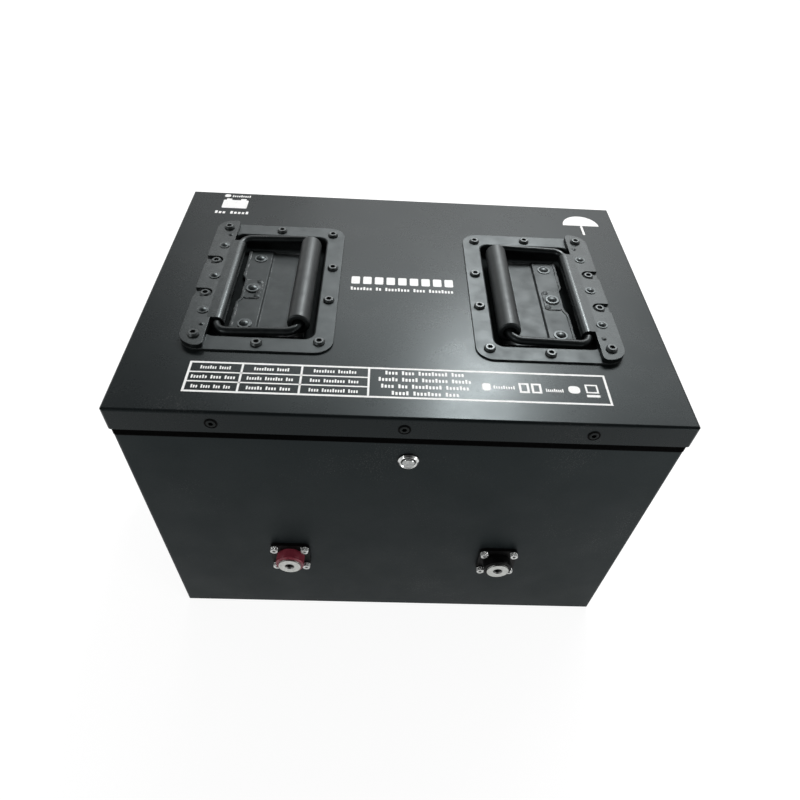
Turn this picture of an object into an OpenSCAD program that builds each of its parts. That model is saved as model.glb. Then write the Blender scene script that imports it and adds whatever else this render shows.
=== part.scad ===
// Portable lithium battery pack in a folded steel case: a box with a screwed lid, two sprung
// carrying handles in pressed dishes on the lid, two threaded terminals and a push button on
// the front, and eight prismatic cells with their busbars, wiring and protection board inside.
// Millimetres. Origin at the centre of the base face, +X to the right of a person who faces
// the terminals, +Y to the back, +Z up.

/* [Case] */
// Width over the lid's skirts
case_w = 433.5; // [430:0.5:450]
// Depth over the lid's skirts
case_d = 315.5; // [313:0.5:330]
// Height to the lid's top face
case_h = 292; // [288:1:310]
// Sheet thickness of the body
body_sheet = 1.5; // [1.2:0.1:2]
// Outer bend radius of the body's folds
body_bend = 3; // [2.2:0.1:4]
// Width of the lip that is folded in round the body's top
lip_w = 14; // [8:1:16]

/* [Lid] */
// Sheet thickness of the lid
lid_sheet = 1; // [0.8:0.1:1.2]
// Outer bend radius of the lid's folds
lid_bend = 2.2; // [2:0.1:4]
// Height of the lid's skirts
skirt_h = 21; // [20:0.5:30]
// Gap between a skirt and the body
lid_gap = 0.4; // [0.35:0.05:1]
// Height of the lid screws below the lid's top face
lid_screw_drop = 11.4; // [10:0.1:14]
// Spacing of the three screws on a long side
lid_screw_pitch = 140; // [120:1:170]
// Spacing of the two screws on a short side
lid_screw_side_pitch = 190; // [120:1:220]
// Width of the sealing tape round the body's top
seal_w = 10.5; // [8:0.1:11]
// How far the sealing tape shows below the skirts
seal_show = 7.3; // [3:0.1:8]
// Thickness of the sealing tape
seal_t = 0.3; // [0.2:0.05:0.3]

/* [Handles] */
// Distance of a handle's centre from the middle of the lid
handle_x = 117; // [110:0.5:130]
// Distance of a handle's centre behind the middle of the lid
handle_y = 0.5; // [-5:0.5:5]
// Width of a handle's flange, across the hinge
flange_w = 120; // [120:0.5:124]
// Length of a handle's flange, along the hinge
flange_l = 184; // [184:0.5:190]
// Corner radius of a handle's flange
flange_r = 15; // [10:0.5:16]
// Sheet thickness of the dish
dish_sheet = 1.5; // [1.2:0.1:1.6]
// Depth of the dish's floor below the lid's top face
dish_depth = 9.5; // [9:0.1:11]
// Diameter of the bail's rod
rod_d = 7; // [6:0.1:7]
// Distance between the centre lines of the bail's legs
bail_w = 137; // [135:0.5:139]
// Distance from the hinge axis to the grip's axis
bail_reach = 66; // [64:0.5:67]
// Centre-line radius of the bail's bends
bail_bend = 10; // [9:0.5:10]
// Angle of the bail above the lid when it lies folded
bail_rest = 2; // [1:0.1:5]
// Diameter of the grip
grip_d = 18.6; // [14:0.1:19]
// Length of the grip
grip_l = 119; // [110:1:119]
// Outer diameter of the hinge's rolled barrel
barrel_d = 11; // [11:0.1:12]
// Length of the hinge's rolled barrel
barrel_l = 115; // [110:1:115]
// Wall of the hinge's rolled barrel
barrel_wall = 1.2; // [1:0.1:1.2]

/* [Terminals] */
// Distance of a terminal from the middle of the front
terminal_x = 98; // [90:0.5:110]
// Height of the terminals above the base
terminal_z = 100; // [90:0.5:120]
// How far a terminal's contact face stands out from the body
terminal_out = 14.4; // [13:0.1:18]
// Side of a terminal's square flange
terminal_flange = 36; // [35:0.5:40]
// Spacing of a terminal's four screws
terminal_pitch = 28; // [27.5:0.5:30]
// Outer diameter of a terminal's coloured collar
collar_d = 26; // [25:0.5:27]
// Diameter of a terminal's contact face
contact_d = 20.5; // [18:0.5:21]

/* [Push button] */
// Distance of the button from the middle of the front
button_x = 5; // [-20:1:20]
// Height of the button above the base
button_z = 243.5; // [235:0.5:250]
// Diameter of the button's bezel
bezel_d = 16.5; // [16:0.1:19]
// Travel of the button
button_travel = 2.5; // [1:0.1:2.5]

/* [Cells] */
// Width of a cell
cell_w = 174; // [170:1:176]
// Thickness of a cell
cell_t = 54; // [50:0.5:55]
// Height of a cell's can
cell_h = 204; // [195:1:206]
// Distance between a cell's two posts
post_pitch = 123; // [110:1:125]

/* [Hidden] */

$fn = 64;
eps = 0.01;
// Radial play of a screw or rod in the hole that it fills
play = 0.05;
// Radial clearance of a screw in a drilled hole
hole_clear = 0.2;
// How far a drill cuts to either side of a sheet
through = 5;
// Straight lengths in one turn of a coil spring
coil_sides = 12;

// Colours
powder_black = [0.035, 0.036, 0.037];
rubber_black = [0.02, 0.02, 0.021];
screw_black = [0.05, 0.05, 0.052];
nickel = [0.72, 0.71, 0.68];
stainless = [0.62, 0.63, 0.64];
zinc = [0.6, 0.6, 0.58];
collar_red = [0.45, 0.03, 0.06];
plastic_black = [0.03, 0.03, 0.032];
cell_blue = [0.05, 0.16, 0.42];
copper = [0.75, 0.42, 0.27];
epoxy_green = [0.45, 0.6, 0.35];
foam_grey = [0.16, 0.16, 0.17];
cable_red = [0.6, 0.03, 0.03];
cable_black = [0.03, 0.03, 0.03];
wire_white = [0.8, 0.8, 0.78];
board_amber = [0.75, 0.6, 0.35];
aluminium = [0.7, 0.71, 0.73];

// Case
body_w = case_w - 2 * (lid_sheet + lid_gap);
body_d = case_d - 2 * (lid_sheet + lid_gap);
body_h = case_h - lid_sheet;
inner_w = body_w - 2 * body_sheet;
inner_d = body_d - 2 * body_sheet;
front_y = -body_d / 2;
lid_corner = 3;
seal_z = case_h - skirt_h - seal_show;

// Lid screws: M5 with a low head, a groove and a flange round it, in rivet nuts
m5_r = 2.5;
lid_screw_z = case_h - lid_screw_drop;
lid_flange_r = 4.8;
lid_flange_h = 0.4;
lid_groove_r = 4.3;
lid_groove_floor = 0.1;
lid_head_r = 3.5;
lid_head_edge = 0.5;
lid_head_flat_r = 3;
lid_head_h = 0.8;
lid_screw_l = 14;
lid_socket = 3.4;
lid_socket_depth = 2;
rivet_nut_r = 3.5;
rivet_flange_r = 4.7;
rivet_flange_t = 0.3;
rivet_nut_l = 10;

// Handle, measured from its centre: u across the hinge towards the case's end, v along it
dish_bend = 1.8;
dish_floor_bend = 6;
opening_near_u = -43.7;
opening_far_u = 43;
opening_l = 150;
opening_r = 8;
opening_w = opening_far_u - opening_near_u;
opening_u = (opening_far_u + opening_near_u) / 2;
lid_hole_margin = 2.5;
hinge_u = 35.5;
hinge_z = 0.3;
plate_t = 2;
plate_u = 40.4;
plate_inner_r = 4;
panel_t = 2;
fairing_u = 43;
notch_r = 6;
ear_pip_u = 45.4;
ear_pip_v = 66.5;
ear_pip_r = 2.2;
ear_pip_h = 0.8;
plate_z = dish_sheet + plate_t;
panel_z = plate_z + panel_t;
inner_screws = [[-48.9, -79.3], [-48.9, 79.3], [0, -83.2], [0, 83.2], [-52.5, -24], [-52.5, 24]];
ear_screws = [[48.9, -79.3], [48.9, 79.3]];
notch_screws = [[51, -24.4], [51, 24.4]];
hinge_screws = concat(ear_screws, notch_screws);
rivet_pitch = 48.3;
hinge_rivet_u = 47.8;
dish_rivet_u = 16.2;
rivet_head_r = 4.7;
rivet_head_h = 2.1;
dish_rivet_r = 6;
dish_rivet_h = 2.4;
rivet_brim_t = 0.6;
rivet_dome_share = 0.72;
rivet_shank_r = 2.5;
button_head_r = 4.75;
button_head_h = 2.4;
handle_socket = 4;
handle_screw_l = 16;
m5_nut_af = 8;
m5_nut_h = 4.7;

// Plate on the dish's floor, under the hinge
floor_plate_t = 1;
step_plate_t = 2.5;
floor_plate_l = 123;
floor_plate_u = -34;
step_u = 6.4;
step_slope = 1.6;
step_end_u = 28;
step_waist_u = 25;
waist_v = 14;
waist_slope = 6;
edge_lip_w = 2;
edge_lip_h = 0.8;
rivet_pad_w = 15;
rivet_pad_l = 27;
rivet_pad_r = 3;
rivet_pad_h = 0.7;
rivet_boss_r = 6.6;
rivet_boss_h = 1.3;
pad_pip_r = 2.6;
pad_pip_h = 0.7;
pad_pip_u = dish_rivet_u - 4.6;
pad_pip_v = 10.3;

// Torsion spring in the hinge's barrel
pivot_in = 9;
bearing_in = 46;
bearing_out = 52;
barrel_bore_r = barrel_d / 2 - barrel_wall;
spring_wire = 0.5;
spring_r = 3.95;
spring_turns = 12;
spring_pitch = 1.5;
spring_v = 14;

// Terminals
flange_t = 3;
flange_corner = 5;
neck_r = 6;
spigot_r = 8.4;
insulator_side = 34;
insulator_t = 4;
stud_r = 5;
stud_l = 12.5;
thread_r = 3.4;
thread_l = 14;
thread_mouth_r = 4.4;
m4_r = 2;
cap_head_r = 3.5;
cap_head_h = 4;
cap_teeth = 20;
cap_tooth_h = 0.3;
cap_socket = 3;
terminal_screw_l = 13;
m4_nut_af = 7;
m4_nut_h = 3.2;
stud_nut_af = 16;
stud_nut_h = 6;
collar_wall_clear = 0.1;
collar_drop = 1.6;
collar_chamfer = 0.8;
insulator_back = body_sheet + insulator_t;

// Push button
bezel_h = 2.7;
bezel_edge = 0.4;
bezel_crest_r = 6.8;
bezel_mouth_r = 6.5;
bezel_mouth_depth = 0.9;
housing_r = 6.9;
housing_l = 24;
well_r = 5.3;
cap_r = 4.9;
cap_out = 4;
cap_edge = 2.9;
cap_chamfer = 0.6;
cap_back = 1.6;
pressed_spring_h = 3.4;
well_depth = cap_back + button_travel + pressed_spring_h;
stem_r = 3;
stem_l = 11;
web_t = 3;
button_seal_t = 0.8;
button_seal_inset = 0.3;
button_nut_af = 17;
button_nut_h = 2.5;
contacts_l = 12;
contacts_plug_l = 8;
button_spring_wire = 0.6;
button_spring_r = 4.2;
button_spring_turns = 3.5;
button_spring_pitch = 1.45;

// Cells and what holds them
base_pad_t = 5;
base_pad_margin = 5;
cell_z = body_sheet + base_pad_t;
cell_top = cell_z + cell_h;
cell_corner = 4;
spacer_t = 1.5;
board_t = 3;
board_h = cell_h - 8;
column_gap = 4;
cell_x = column_gap / 2 + cell_w / 2;
block_w = column_gap + 2 * cell_w;
cell_pitch = cell_t + spacer_t;
block_l = 4 * cell_t + 3 * spacer_t;
back_gap = 7.7;
block_back = inner_d / 2 - back_gap;
block_front = block_back - block_l;
board_front = block_front - board_t;
board_back = block_back + board_t;
row_y = [for (k = [0:3]) block_front + cell_t / 2 + k * cell_pitch];
post_r = 6.5;
post_h = 2;
m6_r = 3;
m6_l = 12;
vent_w = 40;
vent_d = 16;
vent_depth = 0.6;
bar_t = 2;
bar_w = 20;
bar_z = cell_top + post_h;
m6_flange_r = 7;
m6_flange_t = 1.2;
m6_nut_af = 10;
m6_nut_h = 6;
// Series order of the cells: front to back on the right, then back to front on the left
cell_column = [1, 1, 1, 1, -1, -1, -1, -1];
cell_row = [0, 1, 2, 3, 3, 2, 1, 0];
// Where the positive post lies on each cell: 1 is the outer post, -1 the inner one
plus_side = [1, -1, 1, -1, 1, -1, 1, -1];
strap_w = 16;
strap_t = 0.8;
strap_z = [45, 185];
pad_gap = 1;
pad_clear = 0.2;
bay_pad_x = 120;
bay_pad_w = 56;
bay_pad_h = 53;
top_pad_u = 29;
top_pad_w = 24;
top_pad_l = 30;
back_pad_w = 340;
lid_pad_w = 60;
lid_pad_l = 40;
lid_pad_y = [-60, 35, 117];
cover_z = cell_top + 15.5;
cover_t = 2;

// Protection board and its neighbours in the bay behind the terminals
bms_w = 170;
bms_h = 100;
bms_z = 66;
bms_case_t = 14;
bms_base_t = 3;
bms_fin_h = 9;
bms_fin_t = 2.5;
bms_fins = 14;
bms_screw_r = 1.45;
bms_screw_inset = 6;
bms_screw_l = bms_base_t + bms_case_t + board_t;
bms_head_r = 2.8;
bms_head_h = 2;
bms_fin_margin = 20;
bms_front = board_front - bms_case_t;
bms_top = bms_z + bms_h;
bms_lead_y = board_front - bms_case_t / 2;
radio_size = [50, 12, 28];
radio_x = 100;
radio_z = 112;

// Cables: routes are points that the cable's centre line passes through
cable_r = 5;
wire_r = 0.9;
trunk_r = 3;
lead_r = 2;
cable_sides = 10;
wire_sides = 8;
lug_barrel_r = 6;
lug_barrel_l = 16;
cell_lug_r = 9;
stud_lug_r = 10;
stud_lug_t = 3;
inner_post_x = cell_x - post_pitch / 2;
stud_lug_y = front_y + insulator_back;
lug_end_y = row_y[0] - cell_lug_r - lug_barrel_l;
lug_axis_z = bar_z + lug_barrel_r;
lug_top_z = terminal_z + stud_lug_r + lug_barrel_l;
lug_axis_y = stud_lug_y + lug_barrel_r;
positive_route = [
    [-inner_post_x, lug_end_y, lug_axis_z], [-inner_post_x, lug_end_y - 15, lug_axis_z],
    [-36, -110, 208], [-58, -128, 186], [-84, -139, 166],
    [-terminal_x, lug_axis_y, lug_top_z + 20], [-terminal_x, lug_axis_y, lug_top_z]
];
cell_negative_route = [
    [inner_post_x, lug_end_y, lug_axis_z], [inner_post_x, lug_end_y - 12, lug_axis_z],
    [32, -104, 207], [38, -99, 190], [40, bms_lead_y, bms_top + 10], [40, bms_lead_y, bms_top]
];
pack_negative_route = [
    [66, bms_lead_y, bms_top], [66, bms_lead_y, bms_top + 12], [69, -95, 192], [79, -114, 196],
    [92, -134, 178], [terminal_x, lug_axis_y, lug_top_z + 18], [terminal_x, lug_axis_y, lug_top_z]
];
button_route = [
    [button_x, front_y + housing_l + contacts_l, button_z],
    [button_x, front_y + housing_l + contacts_l + 8, button_z],
    [0, -102, 232], [-8, -92, 205], [-12, bms_lead_y, bms_top + 14], [-12, bms_lead_y, bms_top]
];
trunk_z = bar_z + 6;
trunk_route = [
    [8, bms_lead_y, bms_top], [8, bms_lead_y, bms_top + 14], [6, bms_lead_y, 196],
    [3, -80, 210], [0, -66, trunk_z], [0, -40, trunk_z], [0, 40, trunk_z], [0, row_y[3], trunk_z]
];
tap_r = 3.5;
tap_t = 1.2;
wire_sag = 1;

// Points along a smooth curve through a route, whose first and last legs stay straight
function curve_point(a, b, c, d, t) =
    0.5 * ((2 * b) + (c - a) * t + (2 * a - 5 * b + 4 * c - d) * t * t
    + (3 * b - a - 3 * c + d) * t * t * t);
function smooth(route, steps) = let (last = len(route) - 1) concat(
    [route[0]],
    [for (i = [1:last - 2], k = [0:steps - 1])
        curve_point(route[i - 1], route[i], route[i + 1], route[i + 2], k / steps)],
    [route[last - 1], route[last]]);

// A tube round a path, as points and triangles
function unit(v) = v / norm(v);
function tangent(path, i) = unit(path[min(i + 1, len(path) - 1)] - path[max(i - 1, 0)]);
function ring(centre, along, radius, sides, across) =
    let (a = unit(cross(along, across)), b = cross(a, along))
    [for (k = [0:sides - 1])
        centre + radius * (cos(360 * k / sides) * a + sin(360 * k / sides) * b)];
function tube_points(path, radius, sides, across) =
    [for (i = [0:len(path) - 1]) each ring(path[i], tangent(path, i), radius, sides, across)];
function tube_faces(rings, sides) = concat(
    [for (i = [0:rings - 2], k = [0:sides - 1])
        let (p = i * sides + k, q = i * sides + (k + 1) % sides)
        each [[p, q, p + sides], [q, q + sides, p + sides]]],
    [for (k = [1:sides - 2]) [0, k + 1, k]],
    [for (k = [1:sides - 2]) let (e = (rings - 1) * sides) [e, e + k, e + k + 1]]);
module tube(path, radius, sides, across)
    polyhedron(tube_points(path, radius, sides, across), tube_faces(len(path), sides));

// A coil's centre line about the Z axis
function coil_path(radius, turns, pitch) = [for (i = [0:coil_sides * turns])
    let (angle = 360 / coil_sides * i)
    [radius * cos(angle), radius * sin(angle), pitch * i / coil_sides]];
// Least clear gap between a coil's turns, measured on the points of its centre line
function coil_gap(path, wire) =
    min([for (i = [0:len(path) - coil_sides - 1]) norm(path[i + coil_sides] - path[i])]) - wire;
module coil(radius, turns, pitch, wire) {
    path = coil_path(radius, turns, pitch);
    echo("coil: least gap between turns", coil_gap(path, wire));
    tube(path, wire / 2, 6, [0, 0, 1]);
}

// Flat outlines
module round_rect(w, d, r) {
    square([w, d - 2 * r], center = true);
    square([w - 2 * r, d], center = true);
    for (x = [-1, 1], y = [-1, 1])
        translate([x * (w / 2 - r), y * (d / 2 - r)]) circle(r);
}
module fold_outline(w, h, r) {
    translate([-w / 2, 0]) square([w, h - r]);
    translate([r - w / 2, 0]) square([w - 2 * r, h]);
    for (x = [-1, 1])
        translate([x * (w / 2 - r), h - r]) circle(r);
}

// Block with rounded upright corners and a rounded rim round its top
module folded_block(w, d, h, corner, fold) {
    intersection() {
        linear_extrude(h) round_rect(w, d, corner);
        rotate([90, 0, 0]) linear_extrude(d + 2, center = true) fold_outline(w, h, fold);
        rotate([90, 0, 90]) linear_extrude(w + 2, center = true) fold_outline(d, h, fold);
    }
}

// Places: on the front wall with +Z outwards, and on a handle's centre at the lid's top
module on_front(x, z) translate([x, front_y, z]) rotate([90, 0, 0]) children();
module at_handle(side) {
    if (side > 0)
        translate([handle_x, handle_y, case_h]) children();
    else
        mirror([1, 0, 0]) translate([handle_x, handle_y, case_h]) children();
}
module at_hinge(side)
    at_handle(side) translate([hinge_u, 0, hinge_z]) rotate([0, bail_rest, 0]) children();
module both_handles() for (side = [-1, 1]) at_handle(side) children();
module both_terminals() for (side = [-1, 1]) on_front(side * terminal_x, terminal_z) children();
module at_points(points) for (p = points) translate([p[0], p[1], 0]) children();
module at_corners(pitch) for (x = [-1, 1], y = [-1, 1])
    translate([x * pitch / 2, y * pitch / 2, 0]) children();
// Lid screws, with +Z outwards and the body's outer face at zero
module at_lid_screws() {
    for (x = [-1, 0, 1], turn = [0, 180])
        rotate([0, 0, turn]) translate([x * lid_screw_pitch, -body_d / 2, lid_screw_z])
            rotate([90, 0, 0]) children();
    for (y = [-0.5, 0.5], turn = [90, 270])
        rotate([0, 0, turn]) translate([y * lid_screw_side_pitch, -body_w / 2, lid_screw_z])
            rotate([90, 0, 0]) children();
}

// Fasteners, with the bearing face at zero and the head above it
module hex(across_flats, h) cylinder(d = across_flats / cos(30), h = h, $fn = 6);
module dome(r, h) {
    ball = (r * r + h * h) / (2 * h);
    intersection() {
        translate([0, 0, h - ball]) sphere(ball, $fn = 96);
        cylinder(r = r, h = h);
    }
}
module socket_screw(head_r, head_h, shank_r, length, socket_af) {
    edge_h = 0.4 * head_h;
    flat_r = 0.75 * head_r;
    socket_floor = 0.3 * head_h;
    difference() {
        rotate_extrude()
            polygon([[0, 0], [head_r, 0], [head_r, edge_h], [flat_r, head_h], [0, head_h]]);
        translate([0, 0, socket_floor]) hex(socket_af, head_h);
    }
    translate([0, 0, -length]) cylinder(r = shank_r, h = length + socket_floor / 2);
}
// Low round head with a groove and a flange round it
module flanged_screw() {
    difference() {
        union() {
            rotate_extrude()
                polygon([[0, 0], [lid_flange_r, 0], [lid_flange_r, lid_flange_h],
                    [lid_groove_r, lid_flange_h], [lid_groove_r, lid_groove_floor],
                    [lid_head_r, lid_groove_floor], [lid_head_r, lid_head_edge],
                    [lid_head_flat_r, lid_head_h], [0, lid_head_h]]);
            translate([0, 0, -lid_screw_l]) cylinder(r = m5_r, h = lid_screw_l + eps);
        }
        translate([0, 0, lid_head_h - lid_socket_depth]) hex(lid_socket, lid_socket_depth + 1);
    }
}
function toothed_ring(r, tooth_h, teeth) = [for (k = [0:2 * teeth - 1])
    (k % 2 == 0 ? r : r - tooth_h) * [cos(180 * k / teeth), sin(180 * k / teeth)]];
module cap_screw(length) {
    socket_floor = cap_head_h / 2;
    difference() {
        linear_extrude(cap_head_h) polygon(toothed_ring(cap_head_r, cap_tooth_h, cap_teeth));
        translate([0, 0, socket_floor]) hex(cap_socket, cap_head_h);
    }
    translate([0, 0, -length]) cylinder(r = m4_r, h = length + socket_floor / 2);
}
module hex_nut(across_flats, h, bore_r) {
    difference() {
        hex(across_flats, h);
        translate([0, 0, -1]) cylinder(r = bore_r + play, h = h + 2);
    }
}
module rivet(head_r, head_h, length) {
    cylinder(r = head_r, h = rivet_brim_t);
    translate([0, 0, rivet_brim_t - eps]) dome(rivet_dome_share * head_r, head_h - rivet_brim_t + eps);
    translate([0, 0, -length]) cylinder(r = rivet_shank_r, h = length + eps);
}
module drill(r, depth) translate([0, 0, -depth]) cylinder(r = r, h = 2 * depth);

// Case
module base_folded_block(w, d, h, corner, fold)
    translate([0, 0, h]) mirror([0, 0, 1]) folded_block(w, d, h, corner, fold);
module case_body() color(powder_black)
    difference() {
        intersection() {
            folded_block(body_w, body_d, body_h, body_bend, body_bend);
            base_folded_block(body_w, body_d, body_h, body_bend, body_bend);
        }
        translate([0, 0, body_sheet])
            base_folded_block(inner_w, inner_d, body_h - 2 * body_sheet,
                body_bend - body_sheet, body_bend - body_sheet);
        translate([0, 0, body_h / 2]) linear_extrude(body_h)
            square([inner_w - 2 * lip_w, inner_d - 2 * lip_w], center = true);
        at_lid_screws() drill(rivet_nut_r + play, through);
        both_terminals() {
            drill(spigot_r + play, through);
            at_corners(terminal_pitch) drill(m4_r + hole_clear, through);
        }
        on_front(button_x, button_z) drill(housing_r + 2 * play, through);
    }
module lid() color(powder_black)
    difference() {
        translate([0, 0, case_h - skirt_h])
            folded_block(case_w, case_d, skirt_h, lid_corner, lid_bend);
        translate([0, 0, case_h - skirt_h - 1])
            folded_block(case_w - 2 * lid_sheet, case_d - 2 * lid_sheet, skirt_h + 1 - lid_sheet,
                lid_corner - lid_sheet, lid_bend - lid_sheet);
        both_handles() {
            translate([opening_u, 0, -through]) linear_extrude(2 * through)
                round_rect(opening_w + 2 * lid_hole_margin, opening_l + 2 * lid_hole_margin,
                    opening_r + lid_hole_margin);
            at_points(concat(inner_screws, hinge_screws)) drill(m5_r + hole_clear, through);
        }
        at_lid_screws() drill(m5_r + hole_clear, through);
    }
module lid_seal() color(rubber_black)
    translate([0, 0, seal_z]) linear_extrude(seal_w) difference() {
        round_rect(body_w + 2 * seal_t, body_d + 2 * seal_t, body_bend + seal_t);
        round_rect(body_w, body_d, body_bend);
    }
module lid_screws() color(screw_black)
    at_lid_screws() translate([0, 0, lid_gap + lid_sheet])
        flanged_screw();
module rivet_nuts() color(zinc)
    at_lid_screws() difference() {
        union() {
            cylinder(r = rivet_flange_r, h = rivet_flange_t);
            translate([0, 0, -rivet_nut_l]) cylinder(r = rivet_nut_r, h = rivet_nut_l + eps);
        }
        drill(m5_r + play, rivet_nut_l + 1);
    }

// Handle dish: one pressed sheet, its profile carried round the opening and filled by a floor
module dish_profile() {
    t = dish_sheet;
    b = dish_bend;
    f = dish_floor_bend;
    translate([b, 0]) square([flange_l, t]);
    intersection() {
        difference() {
            translate([b, t - b]) circle(b);
            translate([b, t - b]) circle(b - t);
        }
        translate([0, t - b]) square(b);
    }
    translate([0, f - dish_depth]) square([t, dish_depth - f + t - b]);
    intersection() {
        difference() {
            translate([-f, f - dish_depth]) circle(f + t);
            translate([-f, f - dish_depth]) circle(f);
        }
        translate([-f, -dish_depth - t]) square(f + t);
    }
}
module carried_round(w, l, r) {
    for (turn = [0, 180]) rotate([0, 0, turn]) {
        translate([w / 2, 0, 0]) rotate([90, 0, 0]) linear_extrude(l - 2 * r, center = true)
            children();
        translate([0, l / 2, 0]) rotate([90, 0, 90]) linear_extrude(w - 2 * r, center = true)
            children();
        translate([w / 2 - r, l / 2 - r, 0]) rotate_extrude(angle = 90)
            translate([r, 0]) children();
        translate([r - w / 2, l / 2 - r, 0]) rotate([0, 0, 90]) rotate_extrude(angle = 90)
            translate([r, 0]) children();
    }
}
module handle_dish(side) color(powder_black)
    at_handle(side) difference() {
        union() {
            intersection() {
                translate([opening_u, 0, 0]) carried_round(opening_w, opening_l, opening_r)
                    dish_profile();
                translate([0, 0, -2 * dish_depth]) linear_extrude(4 * dish_depth)
                    round_rect(flange_w, flange_l, flange_r);
            }
            translate([opening_u, 0, -dish_depth - dish_sheet]) linear_extrude(dish_sheet)
                round_rect(opening_w - 2 * dish_floor_bend, opening_l - 2 * dish_floor_bend,
                    opening_r - dish_floor_bend);
        }
        at_points(concat(inner_screws, hinge_screws)) drill(m5_r + hole_clear, through);
        for (k = [-1, 0, 1]) {
            translate([hinge_rivet_u, k * rivet_pitch, 0]) drill(rivet_shank_r + play, through);
            translate([dish_rivet_u, k * rivet_pitch, -dish_depth])
                drill(rivet_shank_r + play, through);
        }
    }

// Hinge plate: a strip with ears, and a second layer with two notches that ends in a rolled barrel
module plate_outline() {
    intersection() {
        round_rect(flange_w, flange_l, flange_r);
        translate([plate_u + flange_w / 2, 0])
            round_rect(flange_w, flange_l, plate_inner_r);
    }
}
module panel_outline() {
    difference() {
        union() {
            translate([hinge_u, -barrel_l / 2]) square([plate_u - hinge_u + 1, barrel_l]);
            plate_outline();
        }
        for (p = notch_screws) translate(p) {
            circle(notch_r);
            translate([0, -notch_r]) square([flange_w, 2 * notch_r]);
        }
    }
}
// The barrel, and the slope of sheet that leads on to it from the second layer
module rolled_edge() {
    axis = [hinge_u, hinge_z];
    start = [fairing_u, panel_z];
    reach = start - axis;
    turn = atan2(reach[1], reach[0]) + acos(barrel_d / 2 / norm(reach));
    touch = axis + barrel_d / 2 * [cos(turn), sin(turn)];
    rotate([90, 0, 0]) linear_extrude(barrel_l, center = true) {
        translate(axis) circle(d = barrel_d);
        polygon([axis, touch, start, [fairing_u, plate_z]]);
    }
}
// The barrel's bore is wide for the spring and narrow where the bail turns in it
module barrel_bore() {
    rotate([90, 0, 0]) {
        cylinder(d = rod_d + 2 * play, h = barrel_l + 2, center = true);
        cylinder(r = barrel_bore_r, h = 2 * bearing_in, center = true);
        for (turn = [0, 180]) rotate([turn, 0, 0]) translate([0, 0, bearing_out])
            cylinder(r = barrel_bore_r, h = barrel_l);
    }
}
module hinge_plate(side) color(powder_black)
    at_handle(side) difference() {
        union() {
            translate([0, 0, dish_sheet]) linear_extrude(plate_t) plate_outline();
            translate([0, 0, plate_z - eps]) linear_extrude(panel_t + eps) panel_outline();
            for (k = [-1, 1]) translate([ear_pip_u, k * ear_pip_v, panel_z - eps])
                dome(ear_pip_r, ear_pip_h);
            rolled_edge();
        }
        translate([hinge_u, 0, hinge_z]) barrel_bore();
        at_points(hinge_screws) drill(m5_r + hole_clear, 2 * panel_z);
        for (k = [-1, 0, 1])
            translate([hinge_rivet_u, k * rivet_pitch, 0])
                drill(rivet_shank_r + play, 2 * panel_z);
    }

// Plate on the dish's floor: a thin sheet that steps up to a thicker strip with a waist and a lip
module step_outline() {
    half = floor_plate_l / 2;
    slope_v = waist_v + waist_slope;
    polygon([
        [step_u, -half], [step_end_u, -half], [step_end_u, -slope_v], [step_waist_u, -waist_v],
        [step_waist_u, waist_v], [step_end_u, slope_v], [step_end_u, half], [step_u, half]
    ]);
}
module edge_lip_outline() {
    difference() {
        step_outline();
        translate([-edge_lip_w, 0]) step_outline();
    }
}
module dish_plate(side) color(powder_black)
    at_handle(side) translate([0, 0, -dish_depth]) difference() {
        union() {
            translate([floor_plate_u, -floor_plate_l / 2, 0])
                cube([step_u - floor_plate_u, floor_plate_l, floor_plate_t]);
            linear_extrude(step_plate_t) step_outline();
            linear_extrude(step_plate_t + edge_lip_h) edge_lip_outline();
            rotate([90, 0, 0]) linear_extrude(floor_plate_l, center = true)
                polygon([[step_u - step_slope, 0], [step_u + 1, 0], [step_u + 1, step_plate_t],
                    [step_u, step_plate_t], [step_u - step_slope, floor_plate_t]]);
            translate([dish_rivet_u, 0, 0]) cylinder(r = rivet_boss_r, h = step_plate_t + rivet_boss_h);
            translate([dish_rivet_u, 0, 0]) linear_extrude(step_plate_t + rivet_pad_h)
                round_rect(rivet_pad_w, rivet_pad_l, rivet_pad_r);
            for (k = [-1, 1])
                translate([pad_pip_u, k * pad_pip_v, step_plate_t + rivet_pad_h - eps])
                    dome(pad_pip_r, pad_pip_h);
        }
        for (k = [-1, 0, 1]) translate([dish_rivet_u, k * rivet_pitch, 0])
            drill(rivet_shank_r + play, through);
    }

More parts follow.
